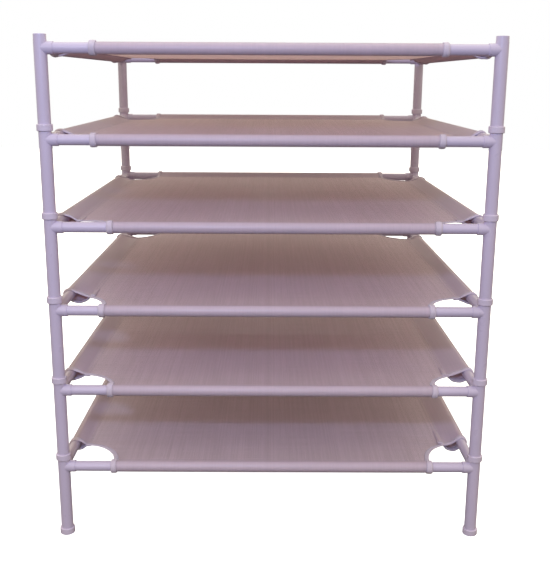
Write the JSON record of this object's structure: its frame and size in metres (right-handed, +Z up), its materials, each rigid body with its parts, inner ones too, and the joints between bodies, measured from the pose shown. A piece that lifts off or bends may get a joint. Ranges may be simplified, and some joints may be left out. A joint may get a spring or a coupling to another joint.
{
  "type": "tiered shoe rack",
  "caption": "Square shoe rack of stacking modules: round corner legs, tube rails, coupler rings and see-through mesh shelves held taut by sleeves on the rails.",
  "frame": {"origin": "on the floor, at the centre of the rack's plan, under its middle", "axes": "+Z up, +X to the right seen from the front, the front towards -Y"},
  "size_m": [0.6834, 0.6834, 0.787],
  "materials": {
    "leg_plastic": "moulded, soft gloss, pale lilac",
    "coupler_plastic": "moulded, soft gloss, pale lilac",
    "rail_tube": "powder-coated thin tube, pale lilac",
    "shelf_mesh": "fine open woven mesh, mauve, with lilac tape bindings"
  },
  "bodies": {
    "tier_1": {"tier_1_leg_front_left": "leg_plastic", "tier_1_leg_front_right": "leg_plastic", "tier_1_leg_back_right": "leg_plastic", "tier_1_leg_back_left": "leg_plastic", "tier_1_front_rail": "rail_tube", "tier_1_back_rail": "rail_tube", "tier_1_left_rail": "rail_tube", "tier_1_right_rail": "rail_tube", "tier_1_mesh_shelf": "shelf_mesh", "tier_1_foot_couplers": "coupler_plastic"},
    "tier_2": {"tier_2_leg_front_left": "leg_plastic", "tier_2_leg_front_right": "leg_plastic", "tier_2_leg_back_right": "leg_plastic", "tier_2_leg_back_left": "leg_plastic", "tier_2_front_rail": "rail_tube", "tier_2_back_rail": "rail_tube", "tier_2_left_rail": "rail_tube", "tier_2_right_rail": "rail_tube", "tier_2_mesh_shelf": "shelf_mesh", "tier_2_foot_couplers": "coupler_plastic"},
    "tier_3": {"tier_3_leg_front_left": "leg_plastic", "tier_3_leg_front_right": "leg_plastic", "tier_3_leg_back_right": "leg_plastic", "tier_3_leg_back_left": "leg_plastic", "tier_3_front_rail": "rail_tube", "tier_3_back_rail": "rail_tube", "tier_3_left_rail": "rail_tube", "tier_3_right_rail": "rail_tube", "tier_3_mesh_shelf": "shelf_mesh", "tier_3_foot_couplers": "coupler_plastic"},
    "tier_4": {"tier_4_leg_front_left": "leg_plastic", "tier_4_leg_front_right": "leg_plastic", "tier_4_leg_back_right": "leg_plastic", "tier_4_leg_back_left": "leg_plastic", "tier_4_front_rail": "rail_tube", "tier_4_back_rail": "rail_tube", "tier_4_left_rail": "rail_tube", "tier_4_right_rail": "rail_tube", "tier_4_mesh_shelf": "shelf_mesh", "tier_4_foot_couplers": "coupler_plastic"},
    "tier_5": {"tier_5_leg_front_left": "leg_plastic", "tier_5_leg_front_right": "leg_plastic", "tier_5_leg_back_right": "leg_plastic", "tier_5_leg_back_left": "leg_plastic", "tier_5_front_rail": "rail_tube", "tier_5_back_rail": "rail_tube", "tier_5_left_rail": "rail_tube", "tier_5_right_rail": "rail_tube", "tier_5_mesh_shelf": "shelf_mesh", "tier_5_foot_couplers": "coupler_plastic"},
    "tier_6": {"tier_6_leg_front_left": "leg_plastic", "tier_6_leg_front_right": "leg_plastic", "tier_6_leg_back_right": "leg_plastic", "tier_6_leg_back_left": "leg_plastic", "tier_6_front_rail": "rail_tube", "tier_6_back_rail": "rail_tube", "tier_6_left_rail": "rail_tube", "tier_6_right_rail": "rail_tube", "tier_6_mesh_shelf": "shelf_mesh", "tier_6_foot_couplers": "coupler_plastic"}
  },
  "joints": [
    {"name": "tier_2_lift", "type": "slide", "parent": "tier_1", "child": "tier_2", "axis": [0, 0, 1], "range_m": [0, 0.06]},
    {"name": "tier_3_lift", "type": "slide", "parent": "tier_2", "child": "tier_3", "axis": [0, 0, 1], "range_m": [0, 0.06]},
    {"name": "tier_4_lift", "type": "slide", "parent": "tier_3", "child": "tier_4", "axis": [0, 0, 1], "range_m": [0, 0.06]},
    {"name": "tier_5_lift", "type": "slide", "parent": "tier_4", "child": "tier_5", "axis": [0, 0, 1], "range_m": [0, 0.06]},
    {"name": "tier_6_lift", "type": "slide", "parent": "tier_5", "child": "tier_6", "axis": [0, 0, 1], "range_m": [0, 0.06]}
  ]
}
